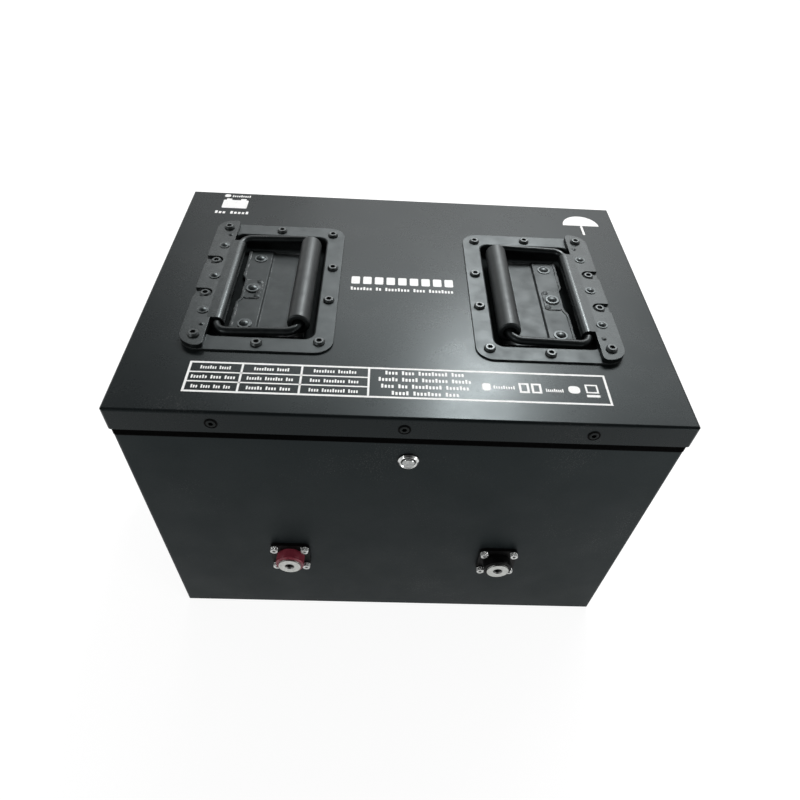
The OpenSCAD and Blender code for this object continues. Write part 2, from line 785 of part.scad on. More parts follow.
// Bail: one bent rod, lying along -X from the hinge axis
module quarter_bend() rotate_extrude(angle = 90) translate([bail_bend, 0]) circle(d = rod_d);
module rod(length) rotate([-90, 0, 0]) cylinder(d = rod_d, h = length);
module half_bail() {
    leg_v = bail_w / 2;
    straight_v = leg_v - bail_bend;
    translate([0, pivot_in, 0]) rod(straight_v - pivot_in);
    translate([-bail_bend, straight_v, 0]) quarter_bend();
    translate([bail_bend - bail_reach, leg_v, 0]) rotate([0, 0, -90])
        rod(bail_reach - 2 * bail_bend);
    translate([bail_bend - bail_reach, straight_v, 0]) rotate([0, 0, 90]) quarter_bend();
    translate([-bail_reach, 0, 0]) rod(straight_v);
}
module bail(side) color(powder_black)
    at_hinge(side) {
        half_bail();
        mirror([0, 1, 0]) half_bail();
    }
module grip(side) color(rubber_black) {
    r = grip_d / 2;
    round_end = 1.5;
    mouth_r = 5.6;
    mouth_l = 5;
    at_hinge(side) translate([-bail_reach, 0, 0]) rotate([90, 0, 0]) difference() {
        translate([0, 0, -grip_l / 2]) rotate_extrude() {
            square([r - round_end, grip_l]);
            translate([0, round_end]) square([r, grip_l - 2 * round_end]);
            for (end = [round_end, grip_l - round_end])
                translate([r - round_end, end]) circle(round_end);
        }
        cylinder(d = rod_d + 2 * play, h = grip_l + 2, center = true);
        for (turn = [0, 180]) rotate([turn, 0, 0]) translate([0, 0, grip_l / 2 - mouth_l])
            cylinder(r = mouth_r, h = mouth_l + 1);
    }
}
module handle_spring(side) color(zinc)
    at_handle(side) translate([hinge_u, spring_v, hinge_z]) rotate([-90, 0, 0])
        coil(spring_r, spring_turns, spring_pitch, spring_wire);

// Handle fasteners, shared by both handles
module handle_screws() color(screw_black)
    both_handles() {
        translate([0, 0, dish_sheet]) at_points(inner_screws)
            socket_screw(button_head_r, button_head_h, m5_r, handle_screw_l, handle_socket);
        translate([0, 0, plate_z]) at_points(notch_screws)
            socket_screw(button_head_r, button_head_h, m5_r, handle_screw_l, handle_socket);
        translate([0, 0, panel_z]) at_points(ear_screws)
            socket_screw(button_head_r, button_head_h, m5_r, handle_screw_l, handle_socket);
    }
module handle_nuts() color(zinc)
    both_handles() at_points(concat(inner_screws, hinge_screws))
        translate([0, 0, -lid_sheet - m5_nut_h]) hex_nut(m5_nut_af, m5_nut_h, m5_r);
module handle_rivets() color(powder_black)
    both_handles() for (k = [-1, 0, 1]) {
        translate([hinge_rivet_u, k * rivet_pitch, panel_z])
            rivet(rivet_head_r, rivet_head_h, panel_z);
        boss = k == 0 ? rivet_boss_h : 0;
        translate([dish_rivet_u, k * rivet_pitch, step_plate_t + boss - dish_depth])
            rivet(dish_rivet_r, dish_rivet_h, step_plate_t + boss + dish_sheet);
    }

// Terminals, with +Z outwards and the body's outer face at zero
module collar(side, tint) color(tint)
    on_front(side * terminal_x, terminal_z) difference() {
        rotate_extrude() {
            top = terminal_out - collar_drop;
            polygon([[0, flange_t], [collar_d / 2, flange_t], [collar_d / 2, top - collar_chamfer],
                [collar_d / 2 - collar_chamfer, top], [0, top]]);
        }
        cylinder(d = contact_d + 2 * collar_wall_clear, h = terminal_out + 1);
    }
module terminal_stud(side) color(nickel)
    on_front(side * terminal_x, terminal_z) difference() {
        union() {
            translate([0, 0, flange_t]) cylinder(d = contact_d, h = terminal_out - flange_t);
            translate([0, 0, -insulator_back]) cylinder(r = neck_r, h = insulator_back + flange_t + 1);
            translate([0, 0, -insulator_back - stud_l]) cylinder(r = stud_r, h = stud_l + 1);
        }
        translate([0, 0, terminal_out - thread_l]) cylinder(r = thread_r, h = thread_l + 1);
        translate([0, 0, terminal_out - thread_mouth_r + thread_r])
            cylinder(r1 = thread_r, r2 = thread_mouth_r + eps, h = thread_mouth_r - thread_r + eps);
    }
module terminal_flanges() color(plastic_black)
    both_terminals() linear_extrude(flange_t) difference() {
        round_rect(terminal_flange, terminal_flange, flange_corner);
        circle(neck_r + play);
        for (x = [-1, 1], y = [-1, 1])
            translate([x * terminal_pitch / 2, y * terminal_pitch / 2]) circle(m4_r + hole_clear);
    }
module terminal_insulators() color(plastic_black)
    both_terminals() difference() {
        union() {
            translate([0, 0, -insulator_back]) linear_extrude(insulator_t)
                round_rect(insulator_side, insulator_side, flange_corner - 1);
            translate([0, 0, -body_sheet - eps]) cylinder(r = spigot_r, h = body_sheet + eps);
        }
        drill(neck_r + play, insulator_back + 1);
        at_corners(terminal_pitch) drill(m4_r + hole_clear, insulator_back + 1);
    }
module terminal_screws() color(stainless)
    both_terminals() at_corners(terminal_pitch) translate([0, 0, flange_t]) cap_screw(terminal_screw_l);
module terminal_nuts() color(stainless)
    both_terminals() at_corners(terminal_pitch) translate([0, 0, -insulator_back - m4_nut_h])
        hex_nut(m4_nut_af, m4_nut_h, m4_r);
module stud_nuts() color(nickel)
    both_terminals() translate([0, 0, -insulator_back - stud_lug_t - stud_nut_h])
        hex_nut(stud_nut_af, stud_nut_h, stud_r);

// Push button, with +Z outwards and the body's outer face at zero
module button_housing() color(stainless)
    on_front(button_x, button_z) difference() {
        rotate_extrude() {
            back = button_seal_t;
            edge = back + bezel_edge;
            rim = bezel_d / 2;
            polygon([[0, -housing_l], [housing_r, -housing_l], [housing_r, back], [rim, back],
                [rim, edge], [bezel_crest_r, bezel_h], [0, bezel_h]]);
        }
        translate([0, 0, -well_depth]) cylinder(r = well_r, h = well_depth + bezel_h + 1);
        translate([0, 0, bezel_h - bezel_mouth_depth])
            cylinder(r1 = well_r, r2 = bezel_mouth_r, h = bezel_mouth_depth + eps);
        translate([0, 0, -well_depth - web_t - 1]) cylinder(r = stem_r + play, h = web_t + 2);
        translate([0, 0, -housing_l - 1])
            cylinder(r = well_r, h = housing_l - well_depth - web_t + 1);
    }
module button_cap() color(stainless)
    on_front(button_x, button_z) {
        shoulder = cap_edge + cap_chamfer;
        translate([0, 0, -cap_back]) cylinder(r = cap_r, h = cap_back + cap_edge);
        translate([0, 0, cap_edge - eps])
            cylinder(r1 = cap_r, r2 = cap_r - cap_chamfer, h = cap_chamfer + eps);
        translate([0, 0, shoulder - eps]) dome(cap_r - cap_chamfer, cap_out - shoulder + eps);
        translate([0, 0, -cap_back - stem_l]) cylinder(r = stem_r, h = stem_l + eps);
    }
module button_spring() color(zinc)
    on_front(button_x, button_z)
        translate([0, 0, -well_depth + button_spring_wire / 2 + play])
            coil(button_spring_r, button_spring_turns, button_spring_pitch, button_spring_wire);
module button_seal() color(rubber_black)
    on_front(button_x, button_z) difference() {
        cylinder(r = bezel_d / 2 - button_seal_inset, h = button_seal_t);
        drill(housing_r + play, through);
    }
module button_nut() color(stainless)
    on_front(button_x, button_z) translate([0, 0, -body_sheet - button_nut_h])
        hex_nut(button_nut_af, button_nut_h, housing_r);
module button_contacts() color(plastic_black)
    on_front(button_x, button_z) {
        translate([0, 0, -housing_l - contacts_l]) cylinder(r = housing_r, h = contacts_l);
        translate([0, 0, -housing_l - eps]) cylinder(r = well_r - play, h = contacts_plug_l);
    }

// Cells: eight cans in two columns of four
function cell_centre(n) = [cell_column[n - 1] * cell_x, row_y[cell_row[n - 1]], cell_z];
function post_x(n, side) = cell_column[n - 1] * (cell_x + side * post_pitch / 2);
function post_at(n, side) = [post_x(n, side), row_y[cell_row[n - 1]]];
module cell(n) color(cell_blue)
    translate(cell_centre(n)) {
        difference() {
            linear_extrude(cell_h) round_rect(cell_w, cell_t, cell_corner);
            translate([0, 0, cell_h - vent_depth]) linear_extrude(2)
                round_rect(vent_w, vent_d, vent_d / 2 - eps);
        }
        for (side = [-1, 1]) translate([side * post_pitch / 2, 0, cell_h - eps]) {
            cylinder(r = post_r, h = post_h + eps);
            cylinder(r = m6_r, h = m6_l + eps);
        }
    }
module busbar(a, b) {
    middle = (a + b) / 2;
    span = norm(b - a);
    translate([middle[0], middle[1], bar_z])
        rotate([0, 0, atan2(b[1] - a[1], b[0] - a[0])])
            linear_extrude(bar_t) difference() {
                round_rect(span + bar_w, bar_w, bar_w / 2 - eps);
                for (end = [-1, 1]) translate([end * span / 2, 0]) circle(m6_r + hole_clear);
            }
}
module busbars() color(copper)
    for (n = [1:7]) busbar(post_at(n, plus_side[n - 1]), post_at(n + 1, -plus_side[n]));
module cell_nuts() color(stainless)
    for (n = [1:8], side = [-1, 1])
        translate([post_x(n, side), row_y[cell_row[n - 1]], bar_z + bar_t]) difference() {
            union() {
                cylinder(r = m6_flange_r, h = m6_flange_t);
                hex(m6_nut_af, m6_nut_h);
            }
            drill(m6_r + play, m6_nut_h + 1);
        }
module cell_boards() color(epoxy_green) {
    for (x = [-1, 1], k = [0:2])
        translate([x * cell_x - cell_w / 2, block_front + cell_t + k * cell_pitch, cell_z])
            cube([cell_w, spacer_t, board_h]);
    translate([-board_t / 2, block_front, cell_z]) cube([board_t, block_l, board_h]);
    translate([-block_w / 2, block_back, cell_z]) cube([block_w, board_t, board_h]);
    difference() {
        translate([-block_w / 2, board_front, cell_z]) cube([block_w, board_t, board_h]);
        at_bms_screws() drill(bms_screw_r + play, bms_screw_l + 1);
    }
}
module cell_straps() color(zinc)
    for (z = strap_z) translate([0, (board_front + board_back) / 2, z])
        linear_extrude(strap_w, center = true) difference() {
            square([block_w + 2 * strap_t, board_back - board_front + 2 * strap_t], center = true);
            square([block_w, board_back - board_front], center = true);
        }
module base_pad() color(foam_grey)
    translate([0, 0, body_sheet]) linear_extrude(base_pad_t)
        square([inner_w - 2 * base_pad_margin, inner_d - 2 * base_pad_margin], center = true);
// Foam blocks that wedge the cells against the case and the cover
module pad(x, y, z, w, d, h) translate([x, y, z]) cube([w, d, h]);
module foam_pads() color(foam_grey) {
    side_x = block_w / 2 + pad_gap;
    wall_x = inner_w / 2 - pad_clear;
    front = pad_clear - inner_d / 2;
    back = inner_d / 2 - pad_clear;
    bay_back = board_front - pad_gap;
    back_y = board_back + pad_gap;
    lid_pad_z = cover_z + cover_t;
    for (x = [0, 1]) mirror([x, 0, 0]) {
        pad(side_x, row_y[0], cell_z, wall_x - side_x, row_y[3] - row_y[0], board_h);
        pad(bay_pad_x, front, cell_z, bay_pad_w, bay_back - front, bay_pad_h);
        for (u = [-1, 1], k = [0, 3])
            pad(cell_x + u * top_pad_u - top_pad_w / 2, row_y[k] - top_pad_l / 2, cell_top,
                top_pad_w, top_pad_l, cover_z - cell_top);
    }
    pad(-back_pad_w / 2, back_y, cell_z, back_pad_w, back - back_y, board_h);
    for (y = lid_pad_y)
        pad(-lid_pad_w / 2, y - lid_pad_l / 2, lid_pad_z, lid_pad_w, lid_pad_l, body_h - lid_pad_z);
}
module cover_board() color(board_amber)
    translate([-block_w / 2, board_front, cover_z])
        cube([block_w, board_back - board_front, cover_t]);

// Protection board: a case on the front board with a finned heat sink over it
module at_bms_screws() {
    for (x = [-1, 1], z = [bms_z + bms_screw_inset, bms_top - bms_screw_inset])
        translate([x * (bms_w / 2 - bms_screw_inset), bms_front - bms_base_t, z])
            rotate([90, 0, 0]) children();
}
module bms_case() color(plastic_black)
    difference() {
        translate([-bms_w / 2, bms_front, bms_z]) cube([bms_w, bms_case_t, bms_h]);
        at_bms_screws() drill(bms_screw_r + hole_clear, bms_screw_l);
    }
module bms_heatsink() color(aluminium)
    difference() {
        union() {
            translate([-bms_w / 2, bms_front - bms_base_t, bms_z]) cube([bms_w, bms_base_t, bms_h]);
            fin_span = bms_w - 2 * bms_fin_margin;
            for (k = [0:bms_fins - 1])
                translate([k * fin_span / (bms_fins - 1) - fin_span / 2 - bms_fin_t / 2,
                    bms_front - bms_base_t - bms_fin_h, bms_z])
                    cube([bms_fin_t, bms_fin_h + eps, bms_h]);
        }
        at_bms_screws() drill(bms_screw_r + hole_clear, bms_screw_l);
    }
module bms_screws() color(stainless)
    at_bms_screws() {
        dome(bms_head_r, bms_head_h);
        translate([0, 0, -bms_screw_l]) cylinder(r = bms_screw_r, h = bms_screw_l + eps);
    }
module radio_module() color(plastic_black) {
    translate([radio_x, board_front - radio_size[1], radio_z]) cube(radio_size);
    lead_y = board_front - radio_size[1] / 2;
    lead_z = radio_z + radio_size[2] / 2;
    translate([bms_w / 2, lead_y, lead_z]) rotate([0, 90, 0])
        cylinder(r = lead_r, h = radio_x - bms_w / 2 + 1);
}

// Cables and their lugs
module cable(route, radius, sides, across) tube(smooth(route, 4), radius, sides, across);
module positive_cable() color(cable_red) cable(positive_route, cable_r, cable_sides, [1, 1, 0]);
module cell_negative_cable() color(cable_black)
    cable(cell_negative_route, cable_r, cable_sides, [1, 0, 0]);
module pack_negative_cable() color(cable_black)
    cable(pack_negative_route, cable_r, cable_sides, [1, -1, 0]);
module button_lead() color(cable_black) cable(button_route, lead_r, wire_sides, [1, 0, 0]);
// Lug: a flat palm with a hole, and a barrel along +X with its lowest line on the palm's face
module cable_lug(palm_r, palm_t, hole_r) {
    difference() {
        union() {
            cylinder(r = palm_r, h = palm_t);
            translate([0, -lug_barrel_r, 0]) cube([palm_r + 1, 2 * lug_barrel_r, palm_t]);
        }
        drill(hole_r, palm_t + 1);
    }
    translate([palm_r, 0, lug_barrel_r]) rotate([0, 90, 0])
        cylinder(r = lug_barrel_r, h = lug_barrel_l);
}
module cable_lugs() color(copper) {
    for (x = [-1, 1]) {
        translate([x * inner_post_x, row_y[0], bar_z]) rotate([0, 0, -90])
            cable_lug(cell_lug_r, bar_t, m6_r + hole_clear);
        translate([x * terminal_x, stud_lug_y, terminal_z]) rotate([-90, -90, 0])
            cable_lug(stud_lug_r, stud_lug_t, stud_r + hole_clear);
    }
}
// Sense wires: a trunk along the middle of the block, with one wire to each busbar
module sense_wire(tap) {
    tap_z = bar_z + bar_t;
    translate([tap[0], tap[1], tap_z]) cylinder(r = tap_r, h = tap_t);
    tube([[tap[0], tap[1], tap_z + wire_r + hole_clear], [tap[0] / 2, tap[1], trunk_z - wire_sag],
        [0, tap[1], trunk_z]], wire_r, wire_sides, [0, 1, 0]);
}
module balance_harness() color(wire_white) {
    cable(trunk_route, trunk_r, wire_sides, [1, 1, 0]);
    for (n = [1:7])
        sense_wire((post_at(n, plus_side[n - 1]) + post_at(n + 1, -plus_side[n])) / 2);
}

case_body();
lid();
lid_seal();
lid_screws();
rivet_nuts();
handle_dish(-1);  // left_handle_dish
hinge_plate(-1);  // left_hinge_plate
dish_plate(-1);  // left_dish_plate
bail(-1);  // left_bail
grip(-1);  // left_grip
handle_spring(-1);  // left_handle_spring
handle_dish(1);  // right_handle_dish
hinge_plate(1);  // right_hinge_plate
dish_plate(1);  // right_dish_plate
bail(1);  // right_bail
grip(1);  // right_grip
handle_spring(1);  // right_handle_spring
handle_screws();
handle_nuts();
handle_rivets();
collar(-1, collar_red);  // positive_collar
collar(1, plastic_black);  // negative_collar
terminal_stud(-1);  // positive_stud
terminal_stud(1);  // negative_stud
terminal_flanges();
terminal_insulators();
terminal_screws();
terminal_nuts();
stud_nuts();
button_housing();
button_cap();
button_spring();
button_seal();
button_nut();
button_contacts();
cell(1);  // cell_1
cell(2);  // cell_2
cell(3);  // cell_3
cell(4);  // cell_4
cell(5);  // cell_5
cell(6);  // cell_6
cell(7);  // cell_7
cell(8);  // cell_8
busbars();
cell_nuts();
cell_boards();
cell_straps();
base_pad();
foam_pads();
cover_board();
bms_case();
bms_heatsink();
bms_screws();
positive_cable();
cell_negative_cable();
pack_negative_cable();
cable_lugs();
balance_harness();
button_lead();
radio_module();
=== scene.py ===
"""Looks of the battery pack: procedural materials, a plain lid print, studio light and the photo's camera."""

import math

import bmesh
import bpy
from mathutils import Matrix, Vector


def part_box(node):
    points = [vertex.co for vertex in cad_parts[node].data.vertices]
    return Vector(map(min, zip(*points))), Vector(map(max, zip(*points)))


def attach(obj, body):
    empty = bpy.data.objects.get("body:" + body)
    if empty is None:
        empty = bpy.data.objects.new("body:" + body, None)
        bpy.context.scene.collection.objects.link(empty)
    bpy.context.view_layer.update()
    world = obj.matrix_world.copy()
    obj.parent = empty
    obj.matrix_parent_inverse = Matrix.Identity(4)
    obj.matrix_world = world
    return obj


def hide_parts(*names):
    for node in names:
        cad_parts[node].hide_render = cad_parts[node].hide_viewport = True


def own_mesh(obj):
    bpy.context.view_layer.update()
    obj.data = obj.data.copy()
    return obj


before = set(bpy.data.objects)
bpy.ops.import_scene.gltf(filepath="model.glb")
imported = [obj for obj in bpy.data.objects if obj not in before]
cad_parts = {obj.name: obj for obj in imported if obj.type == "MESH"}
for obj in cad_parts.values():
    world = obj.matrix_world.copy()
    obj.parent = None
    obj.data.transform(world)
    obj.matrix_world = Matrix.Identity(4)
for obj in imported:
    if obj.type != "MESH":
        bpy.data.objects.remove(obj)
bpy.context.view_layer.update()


def middle(node):
    """The middle of a CAD node's box."""
    low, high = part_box(node)
    return (low + high) / 2


MM = 0.001
LID_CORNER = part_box("lid")[1]
LID_TOP = LID_CORNER.z
BUTTON_CENTRE = middle("button_cap")
# Mouth of the terminals' bores, inside which the nickel is painted near black as oil and painted shade
BORE_RADIUS = 4.3 * MM
# Heights over the lid's skirt, between which the painted shade round a lid screw's head fades out: just past
# a screw's flange, and just short of its head's edge
SCREW_FLANGE = 0.42 * MM
SCREW_HEAD = 0.48 * MM
# The button's spring
SPRING_WIRE = 0.6 * MM
SPRING_TURNS = 3.5
# Height of the printed ink
INK_THICKNESS = 0.06 * MM


def fill_ramp(ramp, stops):
    """Gives a colour ramp its stops, each a place and a colour."""
    for index, (place, colour) in enumerate(stops):
        element = ramp.elements[index] if index < 2 else ramp.elements.new(place)
        element.position = place
        element.color = (*colour, 1)


class Look:
    """One material in the making: its shader, its node tree and the object coordinates it follows.

    The named values set the shader's sockets, with _ for each space in a socket's name.
    """

    def __init__(self, name, **fixed):
        self.material = bpy.data.materials.new(name)
        self.material.use_nodes = True
        self.nodes = self.material.node_tree.nodes
        self.links = self.material.node_tree.links
        self.shader = self.nodes["Principled BSDF"]
        self.place = self.nodes.new("ShaderNodeTexCoord").outputs["Object"]
        for key, value in fixed.items():
            self.shader.inputs[key.replace("_", " ")].default_value = value

    def vector(self, operation, first, second=None):
        """Vector arithmetic on an output and, where it is given, another output or a fixed vector."""
        node = self.nodes.new("ShaderNodeVectorMath")
        node.operation = operation
        self.links.new(first, node.inputs[0])
        if isinstance(second, bpy.types.NodeSocket):
            self.links.new(second, node.inputs[1])
        elif second is not None:
            node.inputs[1].default_value = second
        return node.outputs["Value" if operation in ("DOT_PRODUCT", "LENGTH") else "Vector"]

    def combine(self, operation, first, second):
        """Arithmetic on two values."""
        node = self.nodes.new("ShaderNodeMath")
        node.operation = operation
        self.links.new(first, node.inputs[0])
        self.links.new(second, node.inputs[1])
        return node.outputs["Value"]

    def total(self, first, second):
        return self.combine("ADD", first, second)

    def between(self, value, low, high, start=0.3, end=0.7):
        """A value spread from `low` to `high` as the pattern goes from start to end."""
        node = self.nodes.new("ShaderNodeMapRange")
        node.inputs["From Min"].default_value = start
        node.inputs["From Max"].default_value = end
        node.inputs["To Min"].default_value = low
        node.inputs["To Max"].default_value = high
        self.links.new(value, node.inputs["Value"])
        return node.outputs["Result"]

    def at(self, stretch=(1, 1, 1), shift=(0, 0, 0)):
        """Object coordinates, moved and then stretched."""
        return self.vector("MULTIPLY", self.vector("ADD", self.place, shift), stretch)

    def round_axis(self, centre, stretch=(1, 1, 1)):
        """Object coordinates measured from a line along Y through `centre`."""
        return self.at(stretch, (-centre.x, 0, -centre.z))

    def noise(self, size, detail=3.0, stretch=(1, 1, 1)):
        """Cloudy values from 0 to 1, with features about `size` metres across."""
        node = self.nodes.new("ShaderNodeTexNoise")
        node.inputs["Scale"].default_value = 1 / size
        node.inputs["Detail"].default_value = detail
        self.links.new(self.at(stretch), node.inputs["Vector"])
        return node.outputs["Fac"]

    def cells(self, size):
        """Distances in a cell pattern with cells about `size` metres across."""
        node = self.nodes.new("ShaderNodeTexVoronoi")
        node.inputs["Scale"].default_value = 1 / size
        self.links.new(self.place, node.inputs["Vector"])
        return node.outputs["Distance"]

    def wave(self, kind, pitch, axis, wobble, place):
        """Even waves `pitch` metres apart: BANDS across an axis or RINGS round it."""
        node = self.nodes.new("ShaderNodeTexWave")
        node.wave_type = kind
        node.bands_direction = axis
        node.rings_direction = axis
        node.inputs["Scale"].default_value = math.pi / (10 * pitch)
        node.inputs["Distortion"].default_value = wobble
        self.links.new(place, node.inputs["Vector"])
        return node.outputs["Fac"]

    def bands(self, pitch, axis, wobble=0.0):
        return self.wave("BANDS", pitch, axis, wobble, self.place)

    def lathe_rings(self, centre):
        """Fine uneven rings round a line along Y, as a lathe leaves them."""
        pitch = 0.35 * MM
        wobble = 1.5
        return self.wave("RINGS", pitch, "Y", wobble, self.round_axis(centre))

    def depth(self, level, reach):
        """0 at the height `level` and above it, rising to 1 at `reach` metres below it."""
        height = self.vector("DOT_PRODUCT", self.place, (0, 0, 1))
        return self.between(height, 1.0, 0.0, level - reach, level)

    def off_skirt(self):
        """How far a point stands out from the upright faces of the lid."""
        past = self.vector("SUBTRACT", self.vector("ABSOLUTE", self.place), (LID_CORNER.x, LID_CORNER.y, 0))
        axes = self.nodes.new("ShaderNodeSeparateXYZ")
        self.links.new(past, axes.inputs["Vector"])
        return self.combine("MAXIMUM", axes.outputs["X"], axes.outputs["Y"])

    def outside(self, centre, radius):
        """0 inside a cylinder along Y, rising to 1 just outside it."""
        distance = self.vector("LENGTH", self.round_axis(centre, stretch=(1, 0, 1)))
        return self.between(distance, 0.0, 1.0, 0.9 * radius, 1.1 * radius)

    def rounded_normal(self, radius):
        """The normals that the surface would have with its sharp edges rounded by `radius`."""
        node = self.nodes.new("ShaderNodeBevel")
        node.samples = 6
        node.inputs["Radius"].default_value = radius
        return node.outputs["Normal"]

    def edge_wear_and_glint(self, radius, patch):
        """Patchy edge mask for wear and painted highlight: 0 on flat faces, up to 1 along edges, where the
        rounded normal leaves the true one.
        """
        true_normal = self.nodes.new("ShaderNodeNewGeometry").outputs["Normal"]
        likeness = self.vector("DOT_PRODUCT", self.rounded_normal(radius), true_normal)
        edge = self.between(likeness, 1.0, 0.0, 0.82, 0.98)
        patches = self.between(self.noise(patch, detail=4.0), 0.0, 1.0, 0.40, 0.62)
        return self.combine("MULTIPLY", edge, patches)

    def paint(self, value, *stops):
        """Lets the base colour follow a pattern through (place, colour) stops."""
        node = self.nodes.new("ShaderNodeValToRGB")
        fill_ramp(node.color_ramp, stops)
        self.links.new(value, node.inputs["Fac"])
        self.links.new(node.outputs["Color"], self.shader.inputs["Base Color"])

    def roughen(self, value, low, high, extra=None):
        """Lets the roughness follow a pattern, with a further pattern on top if one is given."""
        rough = self.between(value, low, high)
        if extra is not None:
            rough = self.total(rough, extra)
        self.links.new(rough, self.shader.inputs["Roughness"])

    def soften_edges(self, radius):
        """Lets sharp edges catch the light as if they were rounded by `radius`."""
        self.links.new(self.rounded_normal(radius), self.shader.inputs["Normal"])

    def bump(self, height, depth):
        """Adds relief `depth` metres deep on top of any relief already there."""
        node = self.nodes.new("ShaderNodeBump")
        node.inputs["Distance"].default_value = depth
        self.links.new(height, node.inputs["Height"])
        normal = self.shader.inputs["Normal"]
        if normal.is_linked:
            self.links.new(normal.links[0].from_socket, node.inputs["Normal"])
        self.links.new(node.outputs["Normal"], normal)


def shade(colour, share):
    """A colour darkened to a share of itself."""
    return tuple(share * part for part in colour)


def powder_coat(name, specular, gloss, tint):
    """Satin black powder coat: fine orange peel, cloudy sheen and a few pale dust specks."""
    look = Look(name, Specular_IOR_Level=specular, Specular_Tint=(*tint, 1.0))
    clouds = look.between(look.noise(60 * MM), 0.0, 0.35)
    dust = look.total(clouds, look.noise(0.9 * MM, detail=1.0))
    look.paint(dust, (0.45, (0.0050, 0.0066, 0.0070)), (0.95, (0.0086, 0.0102, 0.0107)),
               (1.0, (0.03, 0.03, 0.03)))
    peel = look.between(look.noise(1.2 * MM), -0.08, 0.08)
    look.roughen(look.total(look.noise(35 * MM, detail=5.0), peel), *gloss)
    look.bump(look.noise(1.1 * MM, detail=2.0), 0.005 * MM)
    return look.material


def handle_paint(name, gloss, specular=0.30, edge=0.5 * MM, recess_shade=0.0, worn_and_glinting_edge=0.11):
    """Black paint on pressed steel, rubbed to grey at its edges as wear and painted highlight, and darker and
    duller in the dish as painted shade.
    """
    look = Look(name, Specular_IOR_Level=specular, Specular_Tint=(0.84, 0.97, 1.0, 1.0))
    look.soften_edges(edge)
    paint_wear_and_glint = look.total(look.noise(7 * MM, detail=4.0), look.between(look.noise(0.6 * MM), -0.06, 0.06))
    # Edges painted light: wear, and a painted highlight where rounded edges would catch the light.
    paint_wear_and_glint = look.total(paint_wear_and_glint, look.between(look.edge_wear_and_glint(1.2 * edge, 5 * MM), 0.0, 0.70, 0.0, 1.0))
    look.paint(paint_wear_and_glint, (0.40, (0.0045, 0.0056, 0.0056)), (0.70, (0.0095, 0.0110, 0.0110)),
               (0.88, (0.032, 0.034, 0.034)), (1.0, (worn_and_glinting_edge, worn_and_glinting_edge, worn_and_glinting_edge)))
    # Painted shade: deeper in the dish the paint turns metallic on its near-black base and rougher, so it
    # shows darker.
    recess_shade_mask = look.between(look.depth(LID_TOP, 5 * MM), 0.0, recess_shade, 0.0, 1.0)
    look.links.new(recess_shade_mask, look.shader.inputs["Metallic"])
    look.roughen(look.noise(12 * MM, detail=5.0), *gloss, extra=recess_shade_mask)
    look.bump(look.noise(2.4 * MM, detail=3.0), 0.02 * MM)
    look.bump(look.noise(14 * MM, detail=1.0), 0.14 * MM)
    return look.material


def rod_paint():
    """Smoother black paint on the bent rods."""
    look = Look("black_rod_paint", Specular_IOR_Level=0.24, Specular_Tint=(0.86, 0.97, 1.0, 1.0))
    look.paint(look.noise(5 * MM), (0.35, (0.0036, 0.0045, 0.0046)), (0.75, (0.0085, 0.0096, 0.0097)))
    look.roughen(look.noise(6 * MM, detail=5.0), 0.26, 0.40)
    look.bump(look.noise(1.6 * MM), 0.02 * MM)
    return look.material


def grip_rubber():
    """Extruded soft black grip: faint lengthwise draw lines and a fine matt grain."""
    look = Look("grip_rubber", Specular_IOR_Level=0.34, Specular_Tint=(0.88, 0.98, 1.0, 1.0))
    draw = look.noise(0.8 * MM, detail=3.0, stretch=(1, 0.02, 1))
    look.paint(draw, (0.30, (0.0050, 0.0060, 0.0061)), (0.75, (0.0100, 0.0112, 0.0113)))
    look.roughen(look.noise(9 * MM, detail=5.0), 0.38, 0.50)
    look.bump(draw, 0.02 * MM)
    look.bump(look.noise(0.35 * MM, detail=1.0), 0.006 * MM)
    return look.material


def worn_glinting_screw():
    """Black oxide screw steel, worn bright on the high spots and along its edges, where the bright edges are
    also a painted highlight.
    """
    look = Look("worn_glinting_screw", Metallic=0.1, Specular_IOR_Level=0.60, Specular_Tint=(0.88, 0.98, 1.0, 1.0))
    look.soften_edges(0.25 * MM)
    # Edges painted light: wear, and a painted highlight on the rims.
    rubbed_and_glinting_edges = look.between(look.edge_wear_and_glint(0.35 * MM, 1.5 * MM), 0.0, 0.4, 0.0, 1.0)
    screw_wear_and_glint = look.total(look.noise(1.4 * MM, detail=4.0), rubbed_and_glinting_edges)
    look.paint(screw_wear_and_glint, (0.40, (0.0060, 0.0070, 0.0070)), (0.66, (0.014, 0.015, 0.015)),
               (1.0, (0.348, 0.36, 0.36)))
    look.roughen(look.noise(0.9 * MM), 0.30, 0.46)
    look.bump(look.noise(0.5 * MM), 0.012 * MM)
    return look.material


def lid_screw_paint():
    """Dull black screws with worn heads, and painted shade that darkens the groove and flange round each
    head.
    """
    look = Look("black_screw", Specular_IOR_Level=0.03)
    # Painted shade: near black in the groove and on the flange round each head, the head's own tone above
    # them.
    groove_shade_mask = look.between(look.off_skirt(), 0.05, 0.9, SCREW_FLANGE, SCREW_HEAD)
    tone_and_shade = look.total(groove_shade_mask, look.between(look.noise(1.4 * MM, detail=4.0), -0.10, 0.10))
    look.paint(tone_and_shade, (0.10, (0.0008, 0.0009, 0.0009)), (0.80, (0.021, 0.024, 0.024)),
               (1.0, (0.034, 0.037, 0.037)))
    look.roughen(look.noise(0.9 * MM), 0.34, 0.50)
    look.bump(look.noise(0.5 * MM), 0.012 * MM)
    return look.material


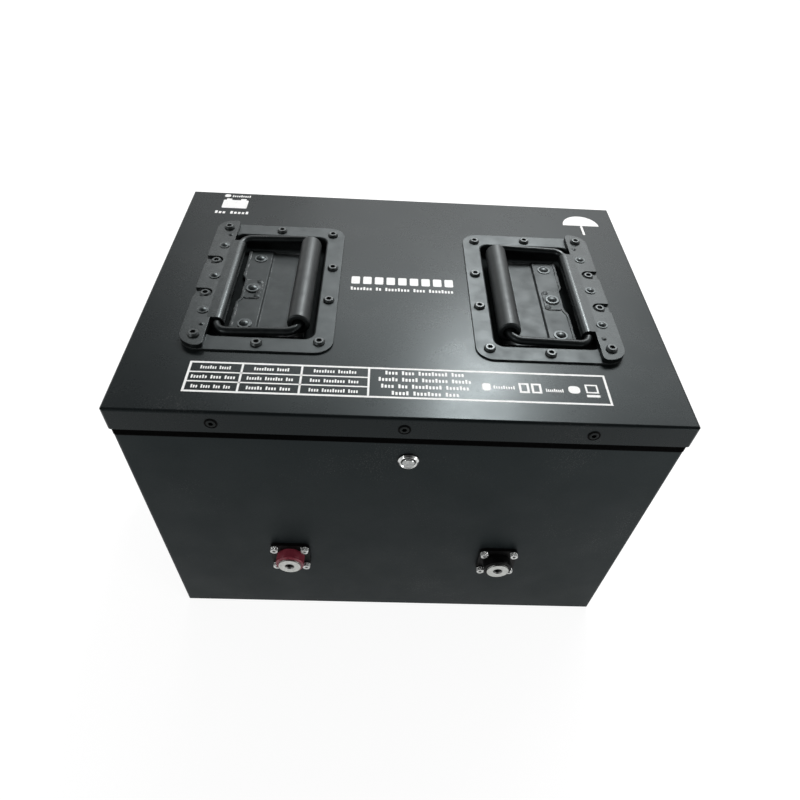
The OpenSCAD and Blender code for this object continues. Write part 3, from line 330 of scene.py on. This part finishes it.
def seal_foam():
    """Dark closed-cell sealing foam, near black, so that the band it makes under the lid's skirt also serves
    as painted shade.
    """
    look = Look("seal_foam", Specular_IOR_Level=0.02)
    pores = look.cells(0.7 * MM)
    # Near-black colour: the foam's own, and painted shade for the gap under the lid's skirt.
    look.paint(pores, (0.05, (0.0004, 0.0004, 0.0004)), (0.6, (0.0010, 0.0010, 0.0010)))
    look.roughen(look.noise(3 * MM), 0.86, 0.98)
    look.bump(pores, 0.12 * MM)
    return look.material


def button_metal(name, colour, gloss):
    """Bright turned metal with faint lathe rings round the button's axis and small stains."""
    look = Look(name, Metallic=1.0)
    look.soften_edges(0.2 * MM)
    stain = look.total(look.noise(2.2 * MM, detail=5.0), look.between(look.noise(0.5 * MM), -0.08, 0.08))
    look.paint(stain, (0.30, shade(colour, 0.62)), (0.62, colour))
    look.roughen(look.noise(1.5 * MM, detail=4.0), *gloss)
    look.bump(look.lathe_rings(BUTTON_CENTRE), 0.004 * MM)
    return look.material


def stud_nickel(node):
    """Turned nickel on a terminal's stud, with its bore near black as oil and painted shade, where thread
    bands show.
    """
    colour = (0.50, 0.51, 0.49)
    thread_pitch = 1.25 * MM
    look = Look(node + "_nickel", Metallic=1.0)
    look.soften_edges(0.2 * MM)
    # Painted shade: the bore's inside is near black, as oil and as shade in the hole.
    outside = look.outside(middle(node), BORE_RADIUS)
    tone_and_shade = look.total(outside, look.between(look.noise(2.5 * MM, detail=4.0), -0.12, 0.0))
    look.paint(tone_and_shade, (0.0, (0.10, 0.10, 0.10)), (0.86, shade(colour, 0.70)), (1.0, colour))
    look.roughen(look.noise(1.5 * MM, detail=4.0), 0.24, 0.38)
    look.bump(look.lathe_rings(middle(node)), 0.004 * MM)
    look.bump(look.bands(thread_pitch, "Y"), 0.2 * MM)
    return look.material


def bright_steel(name, colour, gloss, grain=0.8 * MM, knurl=0.0):
    """Plain bright metal with a fine uneven grain and a cloudy sheen, and grooves `knurl` deep across Y."""
    look = Look(name, Metallic=1.0)
    look.soften_edges(0.2 * MM)
    look.paint(look.noise(grain * 2.5, detail=4.0), (0.32, shade(colour, 0.62)), (0.64, colour))
    look.roughen(look.noise(grain * 1.6, detail=4.0), *gloss)
    look.bump(look.noise(grain, detail=3.0), 0.08 * MM)
    if knurl:
        look.bump(look.bands(0.9 * MM, "Y"), knurl)
    return look.material


def moulded(name, dark, light, gloss, specular=0.4):
    """Moulded plastic: slow colour drift, spark-eroded grain and a patchy sheen."""
    look = Look(name, Specular_IOR_Level=specular)
    drift = look.total(look.between(look.noise(8 * MM), -0.12, 0.12), look.noise(1.0 * MM))
    look.paint(drift, (0.30, dark), (0.72, light))
    look.roughen(look.noise(4 * MM, detail=4.0), *gloss)
    look.bump(look.noise(0.5 * MM, detail=2.0), 0.015 * MM)
    return look.material


def woven_board(name, dark, light):
    """Glass-fibre board with its weave just showing."""
    look = Look(name, Specular_IOR_Level=0.4)
    weave = look.total(look.bands(0.9 * MM, "X", 0.6), look.bands(0.9 * MM, "Z", 0.6))
    look.paint(look.between(weave, 0.0, 1.0, 0.2, 1.8), (0.2, dark), (0.8, light))
    look.roughen(look.noise(5 * MM), 0.38, 0.55)
    look.bump(weave, 0.02 * MM)
    return look.material


def pressed_foam():
    """Open grey packing foam."""
    look = Look("grey_foam", Specular_IOR_Level=0.2)
    pores = look.cells(1.6 * MM)
    look.paint(pores, (0.05, (0.05, 0.05, 0.052)), (0.65, (0.16, 0.16, 0.165)))
    look.roughen(look.noise(4 * MM), 0.85, 0.97)
    look.bump(pores, 0.5 * MM)
    return look.material


def cell_film():
    """Blue shrink film over a cell can: faint wrinkles under a gloss."""
    look = Look("cell_film", Specular_IOR_Level=0.5)
    wrinkle = look.noise(16 * MM, detail=4.0, stretch=(1, 1, 0.35))
    look.paint(wrinkle, (0.30, (0.012, 0.045, 0.19)), (0.72, (0.020, 0.075, 0.28)))
    look.roughen(look.noise(10 * MM), 0.22, 0.36)
    look.bump(wrinkle, 0.4 * MM)
    return look.material


def cable_jacket(name, dark, light):
    """Silicone cable jacket with a dusty satin skin."""
    look = Look(name, Specular_IOR_Level=0.35)
    look.paint(look.noise(3 * MM, detail=5.0), (0.32, dark), (0.74, light))
    look.roughen(look.noise(6 * MM), 0.45, 0.60)
    look.bump(look.noise(0.8 * MM), 0.02 * MM)
    return look.material


def print_ink():
    """Screen-printed white ink: slightly uneven cover with tiny pinholes."""
    look = Look("white_ink", Specular_IOR_Level=0.3)
    cover = look.total(look.noise(0.35 * MM, detail=2.0), look.between(look.noise(6 * MM), -0.08, 0.08))
    look.paint(cover, (0.22, (0.42, 0.42, 0.42)), (0.36, (0.72, 0.72, 0.71)), (0.70, (0.80, 0.80, 0.79)))
    look.roughen(look.noise(2 * MM), 0.42, 0.58)
    look.bump(look.noise(0.4 * MM), 0.01 * MM)
    return look.material


def dress(material, *names):
    """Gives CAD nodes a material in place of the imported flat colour."""
    for name in names:
        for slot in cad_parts[name].material_slots:
            slot.material = material


def dress_case():
    dress(powder_coat("black_lid_coat", 0.145, (0.25, 0.31), (0.81, 0.97, 1.0)), "lid")
    dress(powder_coat("black_body_coat", 0.140, (0.46, 0.54), (0.66, 0.94, 1.0)), "case_body")
    dress(lid_screw_paint(), "lid_screws")
    dress(seal_foam(), "lid_seal", "button_seal")


def dress_handles():
    coats = (
        # The dish's paint is painted darker with depth, as painted shade.
        ("handle_dish", handle_paint("black_dish_paint", (0.42, 0.54), 0.44, recess_shade=0.6)),
        ("hinge_plate", handle_paint("black_hinge_paint", (0.22, 0.31))),
        # The floor plate's edges are painted lighter still, as wear and painted highlight.
        ("dish_plate", handle_paint("black_floor_paint", (0.42, 0.54), edge=0.9 * MM, worn_and_glinting_edge=0.28)),
        ("bail", rod_paint()),
        ("grip", grip_rubber()),
    )
    for part, coat in coats:
        dress(coat, "left_" + part, "right_" + part)
    # The rivets' edges are painted light, as wear and painted highlight.
    dress(handle_paint("black_rivet_paint", (0.34, 0.46), specular=0.60, worn_and_glinting_edge=0.20), "handle_rivets")
    dress(worn_glinting_screw(), "handle_screws")


def dress_front():
    for node in ("positive_stud", "negative_stud"):
        dress(stud_nickel(node), node)
    dress(button_metal("button_steel", (0.58, 0.59, 0.58), (0.07, 0.13)), "button_housing")
    dress(button_metal("cap_steel", (0.38, 0.39, 0.385), (0.10, 0.18)), "button_cap")
    dress(bright_steel("screw_steel", (0.60, 0.61, 0.60), (0.20, 0.34), knurl=0.34 * MM), "terminal_screws")
    red = moulded("red_collar", (0.17, 0.020, 0.036), (0.27, 0.038, 0.058), (0.32, 0.46))
    dress(red, "positive_collar")
    black = moulded("black_moulding", (0.0016, 0.0017, 0.0017), (0.0032, 0.0033, 0.0033), (0.42, 0.58),
                    specular=0.1)
    dress(black, "negative_collar", "terminal_flanges", "terminal_insulators", "button_contacts")


def dress_inside():
    zinc = bright_steel("zinc_steel", (0.56, 0.57, 0.60), (0.30, 0.48))
    dress(zinc, "rivet_nuts", "handle_nuts", "terminal_nuts", "cell_nuts", "bms_screws",
          "left_handle_spring", "right_handle_spring", "button_spring")
    button_coil(zinc)
    dress(bright_steel("nut_nickel", (0.74, 0.73, 0.70), (0.26, 0.40)), "stud_nuts", "button_nut")
    dress(bright_steel("copper", (0.72, 0.36, 0.20), (0.28, 0.46), grain=1.4 * MM), "busbars", "cable_lugs")
    dress(bright_steel("heatsink_aluminium", (0.72, 0.73, 0.74), (0.34, 0.50)), "bms_heatsink")
    dress(cell_film(), *["cell_%d" % number for number in range(1, 9)])
    dress(woven_board("epoxy_board", (0.10, 0.16, 0.06), (0.17, 0.24, 0.10)), "cell_boards")
    dress(woven_board("cover_board", (0.26, 0.22, 0.12), (0.36, 0.31, 0.18)), "cover_board")
    dress(pressed_foam(), "base_pad", "foam_pads")
    dress(moulded("inner_plastic", (0.010, 0.010, 0.011), (0.020, 0.020, 0.021), (0.40, 0.56)),
          "bms_case", "radio_module", "cell_straps")
    dress(cable_jacket("red_cable", (0.20, 0.008, 0.008), (0.34, 0.018, 0.016)), "positive_cable")
    dress(cable_jacket("black_cable", (0.006, 0.006, 0.006), (0.016, 0.016, 0.016)),
          "cell_negative_cable", "pack_negative_cable")
    dress(cable_jacket("white_wire", (0.55, 0.55, 0.54), (0.72, 0.72, 0.70)),
          "balance_harness", "button_lead")


def add_object(name, form, material):
    """Turns a finished form into an object in the scene."""
    mesh = bpy.data.meshes.new(name)
    form.to_mesh(mesh)
    form.free()
    mesh.materials.append(material)
    made = bpy.data.objects.new(name, mesh)
    bpy.context.scene.collection.objects.link(made)
    return made


def case_piece(name, form, material):
    """Turns a finished form into a piece that stays with the case."""
    bmesh.ops.recalc_face_normals(form, faces=form.faces)
    piece = add_object(name, form, material)
    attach(piece, "case")
    return piece


def button_coil(material):
    """The button's spring, a coil in its well that stays with the case."""
    low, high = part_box("button_spring")
    length = high.y - low.y
    half_wire = SPRING_WIRE / 2
    radius = (high.x - low.x - SPRING_WIRE) / 2
    steps = 84
    sides = 10
    along = Vector((0, 1, 0))
    spokes = [2 * math.pi * side / sides for side in range(sides)]
    form = bmesh.new()
    rings = []
    for step in range(steps + 1):
        turn = 2 * math.pi * SPRING_TURNS * step / steps
        outward = Vector((math.cos(turn), 0, math.sin(turn)))
        y = low.y + half_wire + (length - SPRING_WIRE) * step / steps
        centre = Vector((BUTTON_CENTRE.x, y, BUTTON_CENTRE.z)) + radius * outward
        rings.append([form.verts.new(centre + half_wire * (math.cos(a) * outward + math.sin(a) * along))
                      for a in spokes])
    for first, second in zip(rings, rings[1:]):
        for side in range(sides):
            after = (side + 1) % sides
            form.faces.new((first[side], first[after], second[after], second[side])).smooth = True
    form.faces.new(rings[0])
    form.faces.new(rings[-1])
    piece = case_piece("button_coil", form, material)
    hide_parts("button_spring")
    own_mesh(piece)


def bar(x0, x1, y0, y1, corner=0.4):
    """Outline of a rounded bar, in millimetres on the lid."""
    steps = 3
    points = []
    turns = ((x1, y1, 0), (x0, y1, 90), (x0, y0, 180), (x1, y0, 270))
    for x, y, start in turns:
        inward_x = x - math.copysign(corner, x - (x0 + x1) / 2)
        inward_y = y - math.copysign(corner, y - (y0 + y1) / 2)
        for step in range(steps + 1):
            angle = math.radians(start + 90 * step / steps)
            points.append((inward_x + corner * math.cos(angle), inward_y + corner * math.sin(angle)))
    return points


def half_disc(x, y, radius):
    """Outline of the upper half of a disc."""
    steps = 30
    angles = [math.pi * step / steps for step in range(steps + 1)]
    return [(x + radius * math.cos(angle), y + radius * math.sin(angle)) for angle in angles]


def frame_bars(x0, x1, y0, y1, line):
    """Four bars round a rectangle."""
    half = line / 2
    return [
        bar(x0 - half, x1 + half, y0 - half, y0 + half),
        bar(x0 - half, x1 + half, y1 - half, y1 + half),
        bar(x0 - half, x0 + half, y0 + half, y1 - half),
        bar(x1 - half, x1 + half, y0 + half, y1 - half),
    ]


def block_row(x0, x1, y, height, groups):
    """A row of plain upright blocks; groups are the counts of blocks between wider gaps.

    Every fourth block of a group is taller than the rest.
    """
    pitch = (x1 - x0) / (sum(groups) + len(groups) - 1)
    width = 0.64 * pitch
    short = 0.76 * height
    corner = 0.3
    foot = y - height / 2
    blocks = []
    left = x0
    for count in groups:
        for number in range(count):
            top = foot + (height if number % 4 == 0 else short)
            blocks.append(bar(left, left + width, foot, top, corner))
            left += pitch
        left += pitch
    return blocks


def printed(name, outlines, ink):
    """Thin raised ink on the lid's top face, one closed slab for each outline."""
    form = bmesh.new()
    for outline in outlines:
        low = [form.verts.new((x * MM, y * MM, LID_TOP)) for x, y in outline]
        high = [form.verts.new((x * MM, y * MM, LID_TOP + INK_THICKNESS)) for x, y in outline]
        form.faces.new(high)
        form.faces.new(list(reversed(low)))
        for index in range(len(outline)):
            after = (index + 1) % len(outline)
            form.faces.new((low[index], low[after], high[after], high[index]))
    case_piece(name, form, ink)


def table_print(ink):
    """The ruled table by the front edge: nine small cells and one wide one, filled with plain blocks."""
    left, right, low, high = -162.8, 154.9, -136.4, -105
    columns = (-123.5, -78.5, -27.5)
    rows = (-126, -115.8)
    border, upright, cross = 1.8, 1.6, 1.3
    outlines = frame_bars(left, right, low, high, border)
    outlines += [bar(x - upright / 2, x + upright / 2, low + border / 2, high - border / 2) for x in columns]
    outlines += [bar(left + border / 2, columns[2] - upright / 2, y - cross / 2, y + cross / 2) for y in rows]
    edges = (left,) + columns
    middles = ((rows[1] + high) / 2, (rows[0] + rows[1]) / 2, (low + rows[0]) / 2)
    outlines += small_cells(edges, middles)
    outlines += wide_cell()
    outlines += table_marks()
    printed("print_table", outlines, ink)


def small_cells(edges, middles):
    """A row of blocks in each of the nine small cells, three cells to a line."""
    height = 3.6
    # Each cell's inset at both ends, and its groups of blocks
    cells = (
        (8, (7, 5)), (9, (8, 5)), (9, (8, 7)),
        (3, (6, 4, 4)), (5, (6, 7, 3)), (7, (4, 8, 4)),
        (5, (3, 4, 3, 3)), (6, (6, 4, 4)), (7, (4, 9, 4)),
    )
    outlines = []
    for number, (inset, groups) in enumerate(cells):
        line, column = divmod(number, 3)
        left, right = edges[column:column + 2]
        outlines += block_row(left + inset, right - inset, middles[line], height, groups)
    return outlines


def wide_cell():
    """Four rows of blocks in the wide cell."""
    left, right = -20, 51
    first_y, pitch, height = -109.6, 7.3, 4.2
    # Each line's inset at both ends, and its groups of blocks
    lines = ((5, (4, 4, 9, 4)), (0, (6, 5, 8, 6)), (2, (4, 3, 9, 7)), (10, (5, 8, 4)))
    outlines = []
    for number, (inset, groups) in enumerate(lines):
        outlines += block_row(left + inset, right - inset, first_y - pitch * number, height, groups)
    return outlines


def table_marks():
    """Plain blocks and empty squares in a row at the table's right end."""
    y = -121.5
    block_height = 3.6
    round_block = bar(58.5, 65, y - 4, y + 4, 2)
    first_row = block_row(67, 84, y, block_height, (9,))
    squares = [side for x in (87.5, 97) for side in frame_bars(x, x + 6, y - 4.4, y + 4.4, 1.8)]
    second_row = block_row(107, 121, y - 1.5, block_height, (9,))
    disc = bar(124.5, 133.5, y - 4, y + 4, 3)
    last_square = frame_bars(138.5, 147, y - 2.5, y + 5.5, 1.4)
    underline = bar(137.6, 147.9, y - 7.5, y - 5)
    return [round_block, *first_row, *squares, *second_row, disc, *last_square, underline]


def middle_print(ink):
    """Plain tiles over a row of small blocks in the middle of the lid."""
    left, right = -47, 44
    low, high = 5, 16
    tile, gap, tiles = 7.6, 2.8, 9
    starts = [left + (tile + gap) * step for step in range(tiles)]
    outlines = [bar(x, x + tile, low, high, 1.2) for x in starts]
    outlines += block_row(left, right, -2.0, 4.6, (7, 2, 8, 4, 8))
    printed("print_middle", outlines, ink)


def battery_mark(ink):
    """A plain solid battery pictogram with a row of blocks above and below it."""
    body_low, body_high = 126, 142
    post_width, post_height = 5.5, 2.8
    dot = bar(-184, -178, 147.5, 153.5, 2.4)
    above = block_row(-176, -157, 150.2, 4.0, (9,))
    body = bar(-183.5, -158.5, body_low, body_high, 1.2)
    posts = [bar(x, x + post_width, body_high, body_high + post_height) for x in (-181, -166.5)]
    below = block_row(-188, -154, 117.5, 5.0, (3, 5))
    printed("print_battery_mark", [dot, *above, body, *posts, *below], ink)


def rain_mark(ink):
    """A plain half disc on a stem in the far right corner."""
    x, y, radius = 181.5, 121.5, 18.4
    half_stem, stem_foot, stem_gap = 1.1, 104, 0.5
    stem = bar(x - half_stem, x + half_stem, stem_foot, y - stem_gap, 1)
    printed("print_rain_mark", [half_disc(x, y, radius), stem], ink)


def print_lid():
    ink = print_ink()
    table_print(ink)
    middle_print(ink)
    battery_mark(ink)
    rain_mark(ink)


def seen_directly(tree):
    """1 for rays that show the scene itself: from the camera, in gloss, or through glass."""
    path = tree.nodes.new("ShaderNodeLightPath")
    seen = path.outputs["Is Camera Ray"]
    for kind in ("Is Glossy Ray", "Is Transmission Ray"):
        either = tree.nodes.new("ShaderNodeMath")
        either.operation = "MAXIMUM"
        tree.links.new(seen, either.inputs[0])
        tree.links.new(path.outputs[kind], either.inputs[1])
        seen = either.outputs["Value"]
    return seen


def shown_or_lighting(tree, shown, lighting):
    """A shader that is `shown` to the rays that show the scene itself, and `lighting` to all others."""
    chosen = tree.nodes.new("ShaderNodeMixShader")
    tree.links.new(seen_directly(tree), chosen.inputs["Fac"])
    tree.links.new(lighting, chosen.inputs[1])
    tree.links.new(shown, chosen.inputs[2])
    return chosen.outputs["Shader"]


def floor_look():
    """Grey to the lamps, with a white glow where it is seen that rises away from the object."""
    material = bpy.data.materials.new("white_floor")
    material.use_nodes = True
    tree = material.node_tree
    tree.nodes.clear()
    matt = tree.nodes.new("ShaderNodeBsdfDiffuse")
    matt.inputs["Color"].default_value = (0.22, 0.22, 0.22, 1)
    place = tree.nodes.new("ShaderNodeTexCoord")
    distance = tree.nodes.new("ShaderNodeVectorMath")
    distance.operation = "LENGTH"
    tree.links.new(place.outputs["Object"], distance.inputs[0])
    level = tree.nodes.new("ShaderNodeMapRange")
    glow_range = {"From Min": 0.4, "From Max": 2.2, "To Min": 0.88, "To Max": 0.97}
    for key, value in glow_range.items():
        level.inputs[key].default_value = value
    tree.links.new(distance.outputs["Value"], level.inputs["Value"])
    glow = tree.nodes.new("ShaderNodeEmission")
    tree.links.new(level.outputs["Result"], glow.inputs["Strength"])
    nothing = tree.nodes.new("ShaderNodeEmission")
    nothing.inputs["Strength"].default_value = 0.0
    white = shown_or_lighting(tree, glow.outputs["Emission"], nothing.outputs["Emission"])
    both = tree.nodes.new("ShaderNodeAddShader")
    tree.links.new(matt.outputs["BSDF"], both.inputs[0])
    tree.links.new(white, both.inputs[1])
    output = tree.nodes.new("ShaderNodeOutputMaterial")
    tree.links.new(both.outputs["Shader"], output.inputs["Surface"])
    return material


def make_floor():
    """White floor that keeps the object's soft shadow."""
    half_side = 4.0
    form = bmesh.new()
    bmesh.ops.create_grid(form, x_segments=8, y_segments=8, size=half_side)
    add_object("floor", form, floor_look())


def make_world():
    """White surroundings under a darker studio ceiling, and a quieter even light from them."""
    ceiling_direction = (0, -0.3, 1)
    ceiling_levels = ((0.20, 0.9), (0.50, 0.58), (0.75, 0.10), (0.95, 0.03))
    even_light = 0.25
    world = bpy.data.worlds.new("studio")
    bpy.context.scene.world = world
    world.use_nodes = True
    tree = world.node_tree
    tree.nodes.clear()
    direction = tree.nodes.new("ShaderNodeTexCoord")
    height = tree.nodes.new("ShaderNodeVectorMath")
    height.operation = "DOT_PRODUCT"
    height.inputs[1].default_value = ceiling_direction
    tree.links.new(direction.outputs["Generated"], height.inputs[0])
    ceiling = tree.nodes.new("ShaderNodeValToRGB")
    fill_ramp(ceiling.color_ramp, [(place, (level, level, level)) for place, level in ceiling_levels])
    tree.links.new(height.outputs["Value"], ceiling.inputs["Fac"])
    shown = tree.nodes.new("ShaderNodeBackground")
    tree.links.new(ceiling.outputs["Color"], shown.inputs["Color"])
    lighting = tree.nodes.new("ShaderNodeBackground")
    lighting.inputs["Strength"].default_value = even_light
    lighting.inputs["Color"].default_value = (1, 1, 1, 1)
    output = tree.nodes.new("ShaderNodeOutputWorld")
    surface = shown_or_lighting(tree, shown.outputs["Background"], lighting.outputs["Background"])
    tree.links.new(surface, output.inputs["Surface"])


def softbox(name, place, aim, width, height, power):
    """A rectangular lamp that faces a point."""
    lamp = bpy.data.lights.new(name, "AREA")
    lamp.shape = "RECTANGLE"
    lamp.size = width
    lamp.size_y = height
    lamp.energy = power
    holder = bpy.data.objects.new(name, lamp)
    holder.location = place
    holder.rotation_euler = (Vector(aim) - Vector(place)).to_track_quat("-Z", "Y").to_euler()
    bpy.context.scene.collection.objects.link(holder)


def make_lights():
    """Three lamps behind the object, which show in the lid, and two small ones at the front."""
    pack = (0, 0, 0.2)
    lid_front = (0.05, -0.15, 0.29)
    front_right = (0.2, -0.15, 0.10)
    softbox("window", (0.345, 1.155, 1.64), lid_front, width=0.25, height=0.48, power=26)
    softbox("glow", (0.33, 1.42, 1.65), pack, width=2.3, height=0.6, power=16)
    softbox("back_wall", (0.38, 1.82, 1.45), pack, width=1.5, height=0.9, power=8)
    softbox("fill", (-0.95, -0.85, 0.75), pack, width=0.22, height=0.22, power=4)
    softbox("side", (0.62, -0.60, 0.20), front_right, width=0.3, height=0.3, power=1.8)


def make_camera():
    """The photograph's view, found from the case's edges in the picture."""
    lens = bpy.data.cameras.new("photo_camera")
    lens.sensor_width = 36
    lens.lens = 27.447
    lens.shift_x = 0.0007
    lens.shift_y = 0.0639
    camera = bpy.data.objects.new("photo_camera", lens)
    camera.location = (-0.01952, -0.45761, 0.60913)
    camera.rotation_euler = [math.radians(angle) for angle in (40.3318, -2.7376, -0.0150)]
    bpy.context.scene.collection.objects.link(camera)
    bpy.context.scene.camera = camera


dress_case()
dress_handles()
dress_front()
dress_inside()
print_lid()
make_floor()
make_world()
make_lights()
make_camera()
bpy.context.scene.view_settings.view_transform = "Standard"
